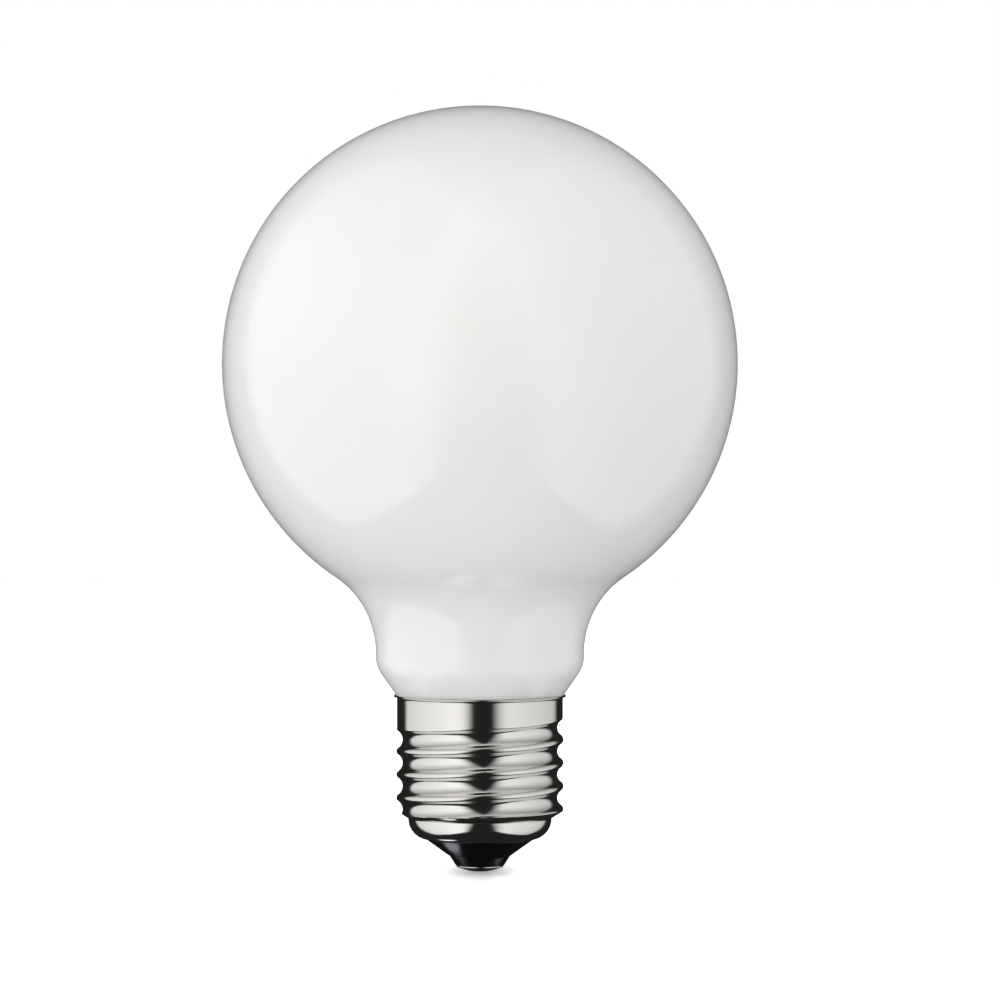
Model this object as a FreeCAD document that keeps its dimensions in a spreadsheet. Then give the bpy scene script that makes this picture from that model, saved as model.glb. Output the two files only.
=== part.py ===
# Opal globe bulb with an E27 screw cap, modelled as a parametric document.
# Millimetres. +Z runs up through the globe, and the origin is the lowest point of the centre contact.
import FreeCAD, Part
import Sketcher
import os

# Driving dimensions, in millimetres, degrees or turns. Every other size is worked out from these.
SIZES = {
    # Glass bulb: the globe, the neck below it and the sealed end inside the cap.
    "globe_dia": 80.0,
    "overall_height": 119.0,
    "neck_overhang": 2.78,
    "neck_fillet": 14.5,
    "shoulder_round": 5.0,
    "seat_taper": 35.0,
    "seat_gap": 0.05,
    "neck_end_gap": 0.45,
    "neck_end_depth": 9.0,
    "neck_end_chamfer": 2.0,
    # Screw shell: one pressed sheet, from its flared rim down to the bowl at its foot.
    "cap_height": 27.5,
    "rim_flare": 0.52,
    "collar_height": 5.13,
    "collar_step": 0.15,
    "collar_ease": 0.7,
    "sheet_wall": 0.25,
    "bore_rise": 0.6,
    "bore_ease": 1.4,
    "skirt_angle": 58.0,
    "bowl_step": 0.9,
    "bowl_land": 0.3,
    "bowl_round": 2.75,
    "foot_lip": 0.15,
    "foot_height": 5.0,
    # Rolled thread of the shell.
    "crest_dia": 26.1,
    "thread_depth": 1.05,
    "thread_pitch": 3.629,
    "thread_length": 16.4,
    "crest_round": 0.8,
    "crest_flat": 0.5,
    "runout_turns": 0.36,
    "runout_lift": 0.1,
    # Cement ring between the neck and the shell.
    "cement_depth": 1.3,
    "cement_height": 5.0,
    # Black glass insulator.
    "boss_height": 1.45,
    "boss_rim": 0.1,
    "boss_flare": 0.95,
    "dish_land": 1.5,
    "dish_floor_dia": 4.6,
    "insulator_floor": 3.2,
    # Centre contact.
    "contact_dia": 7.3,
    "contact_dome": 0.75,
    "contact_edge": 0.2,
    "tail_dia": 2.0,
    "tail_length": 2.2,
    "tail_gap": 0.05,
}

# How far the cutting profiles reach past the metal that they cut.
CUT_MARGIN = 0.5

# Where straight runs meet on the thread's arcs, in degrees from the valley's floor and from the crest's top.
VALLEY_ANGLES = (18, 45)
CREST_ANGLES = (45, 13)

# Radii and heights that more than one piece takes, as expressions on the sheet.
CREST_R = "(Sizes.crest_dia / 2)"
ROOT_R = f"({CREST_R} - Sizes.thread_depth)"
BORE_R = f"({ROOT_R} - Sizes.sheet_wall)"
COLLAR_R = f"({CREST_R} - Sizes.collar_step)"
COLLAR_BORE_R = f"({COLLAR_R} - Sizes.sheet_wall)"
RIM_R = f"({COLLAR_R} + Sizes.rim_flare)"
RIM_BORE_R = f"({RIM_R} - Sizes.sheet_wall / cos(Sizes.seat_taper))"
SEAT_R = f"({RIM_BORE_R} - Sizes.seat_gap / cos(Sizes.seat_taper))"
NECK_END_R = f"({BORE_R} - Sizes.neck_end_gap)"
BOWL_R = f"({ROOT_R} - Sizes.bowl_step)"
BOWL_BORE_R = f"({BOWL_R} - Sizes.sheet_wall)"
BOWL_FLAT_R = f"({BOWL_R} - Sizes.bowl_round)"
FOOT_R = f"({BOWL_FLAT_R} - Sizes.foot_lip)"
THREAD_TOP = "(Sizes.cap_height - Sizes.collar_height)"
BORE_TOP = f"({THREAD_TOP} + Sizes.bore_rise)"
COLLAR_BORE_FOOT = f"({BORE_TOP} + Sizes.bore_ease)"
BOWL_TOP = "(Sizes.foot_height + Sizes.bowl_round)"
SKIRT_FOOT = f"({BOWL_TOP} + Sizes.bowl_land)"
CONTACT_R = "(Sizes.contact_dia / 2)"
CONTACT_SEAT = "(Sizes.contact_dome + Sizes.contact_edge)"


def seat_height(radius):
    """Height at which the glass's taper, which seats in the flared rim, has this radius."""
    return f"(Sizes.cap_height - ({SEAT_R} - {radius}) / tan(Sizes.seat_taper))"


def new_document():
    """The document, with the driving dimensions in its sheet."""
    document = FreeCAD.newDocument("globe_bulb")
    sheet = document.addObject("Spreadsheet::Sheet", "Sizes")
    for row, (alias, size) in enumerate(SIZES.items(), start=1):
        sheet.set(f"A{row}", alias)
        sheet.set(f"B{row}", str(size))
        sheet.setAlias(f"B{row}", alias)
    document.recompute()
    return document


def new_body(document, label):
    """An empty body whose label is the piece's name."""
    body = document.addObject("PartDesign::Body", label)
    body.Label = label
    return body


def bind(sketch, name, constraint, expression):
    """Adds a named dimension to the sketch and ties it to an expression on the sheet."""
    index = sketch.addConstraint(constraint)
    sketch.renameConstraint(index, name)
    sketch.setExpression(f"Constraints.{name}", expression)


def arc_between(start, end, radius, centre_on_left):
    """The shorter arc of this radius from start to end, with its centre on the given side of the way there."""
    chord = end - start
    side = FreeCAD.Vector(-chord.y, chord.x, 0).normalize()
    rise = (radius**2 - (chord.Length / 2) ** 2) ** 0.5
    centre = start + chord * 0.5 + side * (rise if centre_on_left else -rise)
    circle = Part.Circle(centre, FreeCAD.Vector(0, 0, 1), radius)
    first, last = (start, end) if centre_on_left else (end, start)
    return Part.ArcOfCircle(circle, circle.parameter(first), circle.parameter(last))


def profile(body, name, corners, rounds=None):
    """A closed, fully constrained sketch on the body's XZ plane.

    corners maps each corner's name to its radius and height, in order round the outline. rounds makes the edge that
    leaves a corner an arc: it gives the arc's radius and whether its centre lies on the left of the way round.
    """
    rounds = rounds or {}
    sketch = body.newObject("Sketcher::SketchObject", name)
    plane = next(each for each in body.Origin.OriginFeatures if each.Role == "XZ_Plane")
    sketch.AttachmentSupport = [(plane, "")]
    sketch.MapMode = "FlatFace"
    names = list(corners)
    points = [FreeCAD.Vector(*map(sketch.evalExpression, corners[each]), 0) for each in names]
    ends = []
    for at, corner in enumerate(names):
        start = points[at]
        end = points[(at + 1) % len(points)]
        if corner in rounds:
            radius, centre_on_left = rounds[corner]
            edge = sketch.addGeometry(arc_between(start, end, sketch.evalExpression(radius), centre_on_left))
            ends.append((edge, 1, 2) if centre_on_left else (edge, 2, 1))
            size = Sketcher.Constraint("Radius", edge, sketch.evalExpression(radius))
            bind(sketch, f"{corner}_round", size, radius)
        else:
            edge = sketch.addGeometry(Part.LineSegment(start, end))
            ends.append((edge, 1, 2))
    for at, corner in enumerate(names):
        edge, first, _ = ends[at]
        before, _, last = ends[at - 1]
        sketch.addConstraint(Sketcher.Constraint("Coincident", before, last, edge, first))
        radius, height = corners[corner]
        if radius == "0":
            sketch.addConstraint(Sketcher.Constraint("PointOnObject", edge, first, -2))
        else:
            across = Sketcher.Constraint("DistanceX", -1, 1, edge, first, points[at].x)
            bind(sketch, f"{corner}_radius", across, radius)
        if height == "0":
            sketch.addConstraint(Sketcher.Constraint("PointOnObject", edge, first, -1))
        else:
            up = Sketcher.Constraint("DistanceY", -1, 1, edge, first, points[at].y)
            bind(sketch, f"{corner}_height", up, height)
    return sketch


def revolve(body, kind, sketch):
    """Turns a sketch a whole turn about the bulb's axis, as a Revolution that adds or a Groove that cuts."""
    feature = body.newObject(f"PartDesign::{kind}", f"{sketch.Name}_{kind.lower()}")
    feature.Profile = sketch
    feature.ReferenceAxis = (sketch, ["V_Axis"])
    feature.Angle = 360
    body.Document.recompute()
    return feature


def glass_bulb(document):
    """The blown opal bulb: a sphere that runs into a neck, a shoulder and the end that is sealed in the cap."""
    body = new_body(document, "glass_bulb")
    globe_r = "(Sizes.globe_dia / 2)"
    globe_centre = f"(Sizes.overall_height - {globe_r})"
    neck_r = f"({RIM_R} + Sizes.neck_overhang)"
    # The neck's fillet touches the globe and the neck: its centre is this far out and this far below the globe's.
    fillet_out = f"({neck_r} + Sizes.neck_fillet)"
    fillet_reach = f"({globe_r} + Sizes.neck_fillet)"
    fillet_drop = f"sqrt({fillet_reach}^2 - {fillet_out}^2)"
    # The shoulder is an arc from the neck's upright side to the seat's taper.
    shoulder_r = f"({neck_r} - Sizes.shoulder_round * (1 - cos(Sizes.seat_taper)))"
    shoulder_foot = seat_height(shoulder_r)
    neck_foot = f"({shoulder_foot} + Sizes.shoulder_round * sin(Sizes.seat_taper))"
    end_height = "(Sizes.cap_height - Sizes.neck_end_depth)"
    outline = profile(
        body,
        "bulb_outline",
        {
            "end_centre": ("0", end_height),
            "end_edge": (f"{NECK_END_R} - Sizes.neck_end_chamfer", end_height),
            "end_side": (NECK_END_R, f"{end_height} + Sizes.neck_end_chamfer"),
            "taper_foot": (NECK_END_R, seat_height(NECK_END_R)),
            "taper_top": (shoulder_r, shoulder_foot),
            "neck_foot": (neck_r, neck_foot),
            "neck_top": (neck_r, f"{globe_centre} - {fillet_drop}"),
            "globe_foot": (
                f"{fillet_out} * {globe_r} / {fillet_reach}",
                f"{globe_centre} - {fillet_drop} * {globe_r} / {fillet_reach}",
            ),
            "globe_side": (globe_r, globe_centre),
            "crown": ("0", "Sizes.overall_height"),
        },
        {
            "taper_top": ("Sizes.shoulder_round", True),
            "neck_top": ("Sizes.neck_fillet", False),
            "globe_foot": (globe_r, True),
            "globe_side": (globe_r, True),
        },
    )
    revolve(body, "Revolution", outline)
    return body


def thread_profile(body):
    """The thread's groove, beside the axis at the groove's top: a round valley between two round crests.

    The rounds are tangent arcs, drawn as straight runs between points on them, which keeps the wound faces plain.
    The crest arcs rise a little past the crest, so a narrow flat of the turned blank is left between two turns.
    """
    half_pitch = "(Sizes.thread_pitch / 2)"
    flat_rise = "(Sizes.crest_round - sqrt(Sizes.crest_round^2 - (Sizes.crest_flat / 2)^2))"
    arc_depth = f"(Sizes.thread_depth + {flat_rise})"
    # Two arcs that meet tangent over half a pitch and this depth have radii that add up to this.
    both_rounds = f"(({half_pitch}^2 + {arc_depth}^2) / (2 * {arc_depth}))"
    valley_round = f"({both_rounds} - Sizes.crest_round)"
    # Points from the valley's floor up to the crest: the radius, and the height above the groove's middle.
    points = [
        (
            f"({ROOT_R} + {valley_round} * (1 - cos({angle})))",
            f"({valley_round} * sin({angle}))",
        )
        for angle in VALLEY_ANGLES
    ]
    points += [
        (
            f"({ROOT_R} + {arc_depth} - Sizes.crest_round * (1 - cos({angle})))",
            f"({half_pitch} - Sizes.crest_round * sin({angle}))",
        )
        for angle in CREST_ANGLES
    ]
    points.append((f"({CREST_R} + {CUT_MARGIN})", points[-1][1]))
    corners = {}
    for step, (radius, rise) in enumerate(points):
        corners[f"upper_{step}"] = (radius, f"{THREAD_TOP} + {rise}")
    for step, (radius, rise) in reversed(list(enumerate(points))):
        corners[f"lower_{step}"] = (radius, f"{THREAD_TOP} - {rise}")
    return profile(body, "thread_groove", corners)


def wind_groove(body, sketch, name):
    """A cut that winds a sketch up or down the bulb's axis as a right-hand thread."""
    helix = body.newObject("PartDesign::SubtractiveHelix", name)
    helix.Profile = sketch
    helix.ReferenceAxis = (sketch, ["V_Axis"])
    helix.setExpression("Pitch", "Sizes.thread_pitch")
    # Joining faces here would damage the wound ones, so they stay as they are cut.
    helix.Refine = False
    return helix


def screw_shell(document):
    """The pressed screw shell: a turned blank, the rolled thread with its run-out, and the bore that thins it."""
    body = new_body(document, "screw_shell")
    flare = "tan(Sizes.seat_taper)"
    skirt_top = f"({SKIRT_FOOT} + ({CREST_R} - {BOWL_R}) / tan(Sizes.skirt_angle))"
    blank = profile(
        body,
        "shell_blank",
        {
            "foot_centre": ("0", "Sizes.foot_height"),
            "foot_edge": (BOWL_FLAT_R, "Sizes.foot_height"),
            "bowl_top": (BOWL_R, BOWL_TOP),
            "skirt_foot": (BOWL_R, SKIRT_FOOT),
            "skirt_top": (CREST_R, skirt_top),
            "crest_top": (CREST_R, f"{THREAD_TOP} - Sizes.collar_ease"),
            "collar_foot": (COLLAR_R, THREAD_TOP),
            "collar_top": (COLLAR_R, f"Sizes.cap_height - Sizes.rim_flare / {flare}"),
            "rim": (RIM_R, "Sizes.cap_height"),
            "rim_centre": ("0", "Sizes.cap_height"),
        },
        {"foot_edge": ("Sizes.bowl_round", True)},
    )
    revolve(body, "Revolution", blank)

    groove = thread_profile(body)
    thread = wind_groove(body, groove, "thread")
    thread.Mode = "pitch-height-angle"
    thread.Reversed = True
    thread.setExpression("Height", "Sizes.thread_length")
    document.recompute()

    # Behind the collar the groove climbs out of the sheet, and so fades away.
    runout = wind_groove(body, groove, "thread_runout")
    runout.Mode = "pitch-turns-angle"
    runout.setExpression("Turns", "Sizes.runout_turns")
    lift = f"({COLLAR_R} - {ROOT_R} + Sizes.runout_lift)"
    runout.setExpression("Angle", f"atan({lift} / (Sizes.runout_turns * Sizes.thread_pitch))")
    document.recompute()

    skirt_wall = "Sizes.sheet_wall / cos(Sizes.skirt_angle)"
    bore = profile(
        body,
        "shell_bore",
        {
            "below_centre": ("0", f"Sizes.foot_height - {CUT_MARGIN}"),
            "below_foot": (FOOT_R, f"Sizes.foot_height - {CUT_MARGIN}"),
            "foot": (FOOT_R, "Sizes.foot_height + Sizes.sheet_wall"),
            "bowl_floor": (BOWL_FLAT_R, "Sizes.foot_height + Sizes.sheet_wall"),
            "bowl_top": (BOWL_BORE_R, BOWL_TOP),
            "skirt_foot": (
                BOWL_BORE_R,
                f"{SKIRT_FOOT} + ({BOWL_BORE_R} - {BOWL_R} + {skirt_wall}) / tan(Sizes.skirt_angle)",
            ),
            "skirt_top": (
                BORE_R,
                f"{SKIRT_FOOT} + ({BORE_R} - {BOWL_R} + {skirt_wall}) / tan(Sizes.skirt_angle)",
            ),
            "thread_bore_top": (BORE_R, BORE_TOP),
            "collar_bore_foot": (COLLAR_BORE_R, COLLAR_BORE_FOOT),
            "collar_bore_top": (
                COLLAR_BORE_R,
                f"Sizes.cap_height - ({RIM_BORE_R} - {COLLAR_BORE_R}) / {flare}",
            ),
            "above_rim": (f"{RIM_BORE_R} + {CUT_MARGIN} * {flare}", f"Sizes.cap_height + {CUT_MARGIN}"),
            "above_centre": ("0", f"Sizes.cap_height + {CUT_MARGIN}"),
        },
        {"bowl_floor": ("Sizes.bowl_round - Sizes.sheet_wall", True)},
    )
    revolve(body, "Groove", bore)
    return body


def capping_cement(document):
    """The cement ring, which fills the room between the glass neck and the inside of the shell."""
    body = new_body(document, "capping_cement")
    top = "(Sizes.cap_height - Sizes.cement_depth)"
    foot = f"({top} - Sizes.cement_height)"
    ring = profile(
        body,
        "cement_ring",
        {
            "inner_foot": (NECK_END_R, foot),
            "outer_foot": (BORE_R, foot),
            "thread_bore_top": (BORE_R, BORE_TOP),
            "collar_bore_foot": (COLLAR_BORE_R, COLLAR_BORE_FOOT),
            "outer_top": (COLLAR_BORE_R, top),
            "inner_top": (f"{SEAT_R} - (Sizes.cap_height - {top}) * tan(Sizes.seat_taper)", top),
            "taper_foot": (NECK_END_R, seat_height(NECK_END_R)),
        },
    )
    revolve(body, "Revolution", ring)
    return body


def cap_insulator(document):
    """The black glass insulator: it fills the shell's bowl, tapers below it to a boss, and is dished inside."""
    body = new_body(document, "cap_insulator")
    boss_foot_r = f"({CONTACT_R} + Sizes.boss_rim)"
    boss_top = f"({CONTACT_SEAT} + Sizes.boss_height)"
    hole_r = "(Sizes.tail_dia / 2 + Sizes.tail_gap)"
    dish_floor = f"({CONTACT_SEAT} + Sizes.insulator_floor)"
    outline = profile(
        body,
        "insulator_outline",
        {
            "hole_foot": (hole_r, CONTACT_SEAT),
            "boss_foot": (boss_foot_r, CONTACT_SEAT),
            "boss_top": (f"{boss_foot_r} + Sizes.boss_flare", boss_top),
            "cone_top": (FOOT_R, "Sizes.foot_height"),
            "foot": (FOOT_R, "Sizes.foot_height + Sizes.sheet_wall"),
            "bowl_floor": (BOWL_FLAT_R, "Sizes.foot_height + Sizes.sheet_wall"),
            "bowl_top": (BOWL_BORE_R, BOWL_TOP),
            "dish_edge": (f"{BOWL_BORE_R} - Sizes.dish_land", BOWL_TOP),
            "dish_floor": ("Sizes.dish_floor_dia / 2", dish_floor),
            "hole_top": (hole_r, dish_floor),
        },
        {"bowl_floor": ("Sizes.bowl_round - Sizes.sheet_wall", True)},
    )
    revolve(body, "Revolution", outline)
    return body


def centre_contact(document):
    """The centre contact: a domed disc on the insulator's boss, with a tail in the insulator's hole."""
    body = new_body(document, "centre_contact")
    tail_r = "(Sizes.tail_dia / 2)"
    tail_top = f"({CONTACT_SEAT} + Sizes.tail_length)"
    outline = profile(
        body,
        "contact_outline",
        {
            "tip": ("0", "0"),
            "dome_edge": (CONTACT_R, "Sizes.contact_dome"),
            "disc_edge": (CONTACT_R, CONTACT_SEAT),
            "tail_foot": (tail_r, CONTACT_SEAT),
            "tail_side": (tail_r, tail_top),
            "tail_centre": ("0", tail_top),
        },
        {"tip": (f"({CONTACT_R}^2 + Sizes.contact_dome^2) / (2 * Sizes.contact_dome)", True)},
    )
    revolve(body, "Revolution", outline)
    return body


def check(document, bodies):
    """Stops if a feature failed or a piece isn't one valid solid."""
    for feature in document.Objects:
        if {"Invalid", "Error"} & set(feature.State):
            raise RuntimeError(f"{feature.Name} failed: {feature.State}")
    for body in bodies:
        shape = body.Shape
        if shape.isNull() or not shape.isValid() or len(shape.Solids) != 1:
            raise RuntimeError(f"{body.Label} isn't one valid solid")


def main():
    document = new_document()
    pieces = (glass_bulb, screw_shell, capping_cement, cap_insulator, centre_contact)
    bodies = [piece(document) for piece in pieces]
    document.recompute()
    check(document, bodies)
    os.makedirs("parts", exist_ok=True)
    for body in bodies:
        body.Shape.exportStep(f"parts/{body.Label}.step")


main()
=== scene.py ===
# Globe bulb: dresses the solid frame of an opal globe bulb and stands it in a white studio.
import math

import bmesh
import bpy
from bpy.props import FloatProperty, FloatVectorProperty, PointerProperty
from mathutils import Matrix, Vector


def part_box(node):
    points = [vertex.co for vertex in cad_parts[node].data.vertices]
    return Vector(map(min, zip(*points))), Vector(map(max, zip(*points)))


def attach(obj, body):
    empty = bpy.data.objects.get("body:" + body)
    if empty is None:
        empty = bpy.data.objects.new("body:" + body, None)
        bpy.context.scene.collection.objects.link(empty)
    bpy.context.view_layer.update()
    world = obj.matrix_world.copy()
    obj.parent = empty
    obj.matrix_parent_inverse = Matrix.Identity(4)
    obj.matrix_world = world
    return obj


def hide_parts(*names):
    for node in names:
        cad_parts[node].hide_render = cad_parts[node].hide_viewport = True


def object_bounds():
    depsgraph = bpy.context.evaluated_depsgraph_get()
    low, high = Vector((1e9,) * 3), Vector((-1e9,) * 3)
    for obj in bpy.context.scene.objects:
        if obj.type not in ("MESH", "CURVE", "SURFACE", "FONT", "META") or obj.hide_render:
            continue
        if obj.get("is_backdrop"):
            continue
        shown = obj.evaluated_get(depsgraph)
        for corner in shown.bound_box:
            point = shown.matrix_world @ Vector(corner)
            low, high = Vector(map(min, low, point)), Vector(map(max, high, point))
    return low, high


bl_info = {
    "name": "Globe bulb",
    "version": (1, 0, 0),
    "blender": (4, 5, 0),
    "location": "View3D > Sidebar > Globe bulb",
    "description": "Builds an opal globe bulb with a screw cap round its solid frame",
    "category": "Add Mesh",
}

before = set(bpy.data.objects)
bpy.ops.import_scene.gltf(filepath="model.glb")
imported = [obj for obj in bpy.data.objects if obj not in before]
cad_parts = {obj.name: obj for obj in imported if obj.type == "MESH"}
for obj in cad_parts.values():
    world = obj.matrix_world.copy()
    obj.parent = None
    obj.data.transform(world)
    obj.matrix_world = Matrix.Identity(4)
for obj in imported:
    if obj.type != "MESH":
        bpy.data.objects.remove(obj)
CAD_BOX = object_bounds()
GLASS_FOOT, GLASS_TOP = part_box("glass_bulb")
SHELL_FOOT, SHELL_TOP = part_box("screw_shell")
INSULATOR_FOOT, INSULATOR_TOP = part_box("cap_insulator")
CONTACT_FOOT, CONTACT_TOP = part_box("centre_contact")

MM = 0.001
# The photograph's frame is square, this many pixels each way.
IMAGE_PIXELS = 1000
# The cap's pieces are turned about the bulb's axis in this many steps, and the larger globe in more.
STEPS_ROUND = 192
GLOBE_STEPS_ROUND = 256
# One pitch of the thread is at least this many rows of the shell's mesh high.
ROWS_PER_PITCH = 27


def linear(hex_colour):
    """Turns an sRGB hex colour into linear red, green, blue and full alpha."""
    parts = [int(hex_colour[at : at + 2], 16) / 255 for at in (1, 3, 5)]
    parts = [part / 12.92 if part <= 0.04045 else ((part + 0.055) / 1.055) ** 2.4 for part in parts]
    return (*parts, 1.0)


def length(name, description, default):
    """A size in metres that the sidebar shows with its unit."""
    return FloatProperty(name=name, description=description, default=default, unit="LENGTH", precision=5)


def angle(name, description, degrees):
    """An angle that the sidebar shows with its unit."""
    return FloatProperty(name=name, description=description, default=math.radians(degrees), unit="ROTATION")


def number(name, description, default):
    """A plain number in the sidebar."""
    return FloatProperty(name=name, description=description, default=default)


def colour(name, description, hex_colour):
    """A colour that the sidebar shows as a swatch."""
    return FloatVectorProperty(
        name=name, description=description, default=linear(hex_colour), size=4, subtype="COLOR", min=0, max=1
    )


class GlassSettings(bpy.types.PropertyGroup):
    """Sizes and colours of the opal glass."""

    globe_radius: length("Globe radius", "Radius of the blown sphere", 40.0 * MM)
    neck_radius: length("Neck radius", "Radius of the neck where it stands upright", 16.2 * MM)
    neck_fillet: length("Neck fillet", "Radius of the hollow curve from globe to neck", 14.5 * MM)
    shoulder_round: length("Shoulder round", "Radius of the curve from the neck into the cap", 5.0 * MM)
    seat_radius: length("Seat radius", "Radius of the glass level with the cap's rim", 13.05 * MM)
    seat_taper: angle("Seat taper", "Slope of the glass where it seats in the rim", 35)
    end_radius: length("End radius", "Radius of the sealed end inside the cap", 11.3 * MM)
    end_round: length("End round", "Rounding of the sealed end's edge", 2.0 * MM)
    step_in: length("Step in", "How far the glass steps in below the rim", 0.55 * MM)
    step_down: length("Step down", "How far below the rim that step ends", 0.3 * MM)
    opal: colour("Opal white", "Colour of the milk coat where it is thick", "#F6F6F5")
    opal_thin: colour("Thin opal", "Colour of the milk coat where it is thinner", "#F1F1EE")


class CapSettings(bpy.types.PropertyGroup):
    """Sizes and colours of the screw cap."""

    crest_radius: length("Crest radius", "Radius over the thread's crests", 13.0 * MM)
    thread_depth: length("Thread depth", "From crest to root, along the radius", 0.96 * MM)
    thread_pitch: length("Thread pitch", "Rise of the thread in one turn", 3.629 * MM)
    crest_round: length("Crest round", "Radius of the rolled crest", 0.62 * MM)
    groove_top: length("Groove top", "Height of the groove's middle where its run-out starts", 22.37 * MM)
    runout_turns: number("Run-out", "Part of a turn in which the groove fades into the collar", 0.36)
    runout_lift: length("Run-out lift", "How far the groove climbs in its run-out", 0.95 * MM)
    edge_softness: length("Edge softness", "How gently the groove runs into the collar and skirt", 0.1 * MM)
    sheet: length("Sheet", "Thickness of the pressed sheet", 0.25 * MM)
    collar_radius: length("Collar radius", "Radius of the plain collar", 12.9 * MM)
    rim_radius: length("Rim radius", "Radius of the flared rim", 13.42 * MM)
    bowl_radius: length("Bowl radius", "Radius of the bowl below the thread", 11.15 * MM)
    bowl_round: length("Bowl round", "Radius of the bowl's curve", 3.2 * MM)
    foot_radius: length("Foot radius", "Radius of the hole that the insulator closes", 8.4 * MM)
    tip_radius: length("Tip radius", "Radius of the insulator's flat tip", 3.75 * MM)
    waist_radius: length("Waist radius", "Radius where the insulator's tip turns into its cone", 4.65 * MM)
    waist_height: length("Waist height", "Height of that turn above the insulator's tip", 1.4 * MM)
    tube_radius: length("Tube radius", "Radius of the insulator's tube round the contact's tail", 2.3 * MM)
    tube_height: length("Tube height", "Height of that tube's end above the insulator's tip", 3.2 * MM)
    lip_width: length("Lip width", "Width of the insulator's upper edge in the bowl", 1.5 * MM)
    disc_radius: length("Disc radius", "Radius of the centre contact", 3.65 * MM)
    disc_dome: length("Disc dome", "Height of the centre contact's dome", 0.75 * MM)
    tail_radius: length("Tail radius", "Radius of the contact's tail", 1.0 * MM)
    tail_play: length("Tail play", "Gap round the contact's tail", 0.05 * MM)
    nickel: colour("Nickel", "Colour of the bright nickel plate", "#DDDCD8")
    nickel_worn: colour("Worn nickel", "Colour of the plate where it is rubbed", "#D1CBC1")
    insulator: colour("Black glass", "Colour of the insulator", "#0C0B0F")
    contact: colour("Contact metal", "Colour of the centre contact", "#B8B5AE")
    cement: colour("Cement", "Colour of the capping cement", "#C9BFAA")


class StudioSettings(bpy.types.PropertyGroup):
    """Camera, lamps and floor."""

    camera_distance: length("Camera distance", "From the camera to the bulb's axis", 1.2)
    camera_elevation: angle("Camera elevation", "How far the camera looks down", 2.2)
    pixel: length("Pixel size", "Width that one pixel of the photograph spans at the bulb", 0.1553 * MM)
    axis_pixel: number("Axis pixel", "Pixel column of the bulb's axis", 479.9)
    tip_pixel: number("Tip pixel", "Pixel row of the bulb's lowest point", 872.2)
    left_light: number("Left scrim", "Radiance of the left light scrim", 1.27)
    right_light: number("Right scrim", "Radiance of the right light scrim", 1.05)
    front_light: number("Front lamp", "Radiance of the soft lamp beside the camera", 2.3)
    top_light: number("Top lamp", "Radiance of the soft lamp overhead", 2.9)
    back_left_light: number("Back left lamp", "Radiance of the lamp behind on the left", 3.0)
    back_right_light: number("Back right lamp", "Radiance of the lamp behind on the right", 3.0)
    room_light: number("Room light", "Strength of the even light all round", 0.35)
    low_light: number("Low card", "Radiance of the card below on the left", 1.8)
    # Over this patch near the tip the floor gets less white lift. It shows the shadow the lamps cast there, and
    # the patch also greys the floor as a painted shadow.
    painted_shadow_width: length("Shadow width", "Half width of the floor's patch that shows its shadow", 7.5 * MM)
    painted_shadow_depth: length("Shadow depth", "Half depth of the floor's patch that shows its shadow", 50 * MM)
    floor: colour("Floor", "Colour of the pale floor", "#EDEDED")


def add_node(tree, kind, inputs=None, **settings):
    """Adds one node with its settings, and gives each named input a value or a link."""
    node = tree.nodes.new(kind)
    for name, value in settings.items():
        setattr(node, name, value)
    for key, value in (inputs or {}).items():
        if isinstance(value, bpy.types.NodeSocket):
            tree.links.new(value, node.inputs[key])
        else:
            node.inputs[key].default_value = value
    return node


def new_material(name):
    """An empty node material, with its tree and the shader that the finish is set on."""
    material = bpy.data.materials.new(name)
    material.use_nodes = True
    tree = material.node_tree
    tree.nodes.clear()
    shader = add_node(tree, "ShaderNodeBsdfPrincipled")
    add_node(tree, "ShaderNodeOutputMaterial", {"Surface": shader.outputs["BSDF"]})
    return material, tree, shader


def opal_glass(settings):
    """Opal glass, blown and coated white inside: milky, with soft shading and a clear gloss over it."""
    material, tree, shader = new_material("blown_opal_glass")
    place = add_node(tree, "ShaderNodeTexCoord").outputs["Object"]
    # The milk coat is a little thicker in some places than in others, over patches about 20 mm wide.
    cloud = add_node(tree, "ShaderNodeTexNoise", {"Vector": place, "Scale": 1 / (20 * MM), "Detail": 2.0})
    coat = add_node(
        tree,
        "ShaderNodeMix",
        {"Factor": cloud.outputs["Fac"], 6: settings.opal, 7: settings.opal_thin},
        data_type="RGBA",
    )
    # Blown glass is never quite even: slow waves some 30 mm long bend what it reflects.
    waves = add_node(tree, "ShaderNodeTexNoise", {"Vector": place, "Scale": 1 / (30 * MM), "Detail": 0.0})
    bump = add_node(
        tree, "ShaderNodeBump", {"Height": waves.outputs["Fac"], "Strength": 0.25, "Distance": 0.6 * MM}
    )
    # Handling leaves faint dull marks about 6 mm wide on the gloss.
    marks = add_node(tree, "ShaderNodeTexNoise", {"Vector": place, "Scale": 1 / (6 * MM), "Detail": 4.0})
    gloss = add_node(
        tree,
        "ShaderNodeMapRange",
        {"Value": marks.outputs["Fac"], "From Min": 0.35, "From Max": 0.75, "To Min": 0.07, "To Max": 0.13},
    )
    tree.links.new(coat.outputs[2], shader.inputs["Base Color"])
    tree.links.new(gloss.outputs["Result"], shader.inputs["Roughness"])
    tree.links.new(bump.outputs["Normal"], shader.inputs["Normal"])
    shader.inputs["IOR"].default_value = 1.58
    shader.inputs["Subsurface Weight"].default_value = 0.5
    shader.inputs["Subsurface Radius"].default_value = (1.0, 1.0, 1.0)
    shader.inputs["Subsurface Scale"].default_value = 6 * MM
    return material


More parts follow.
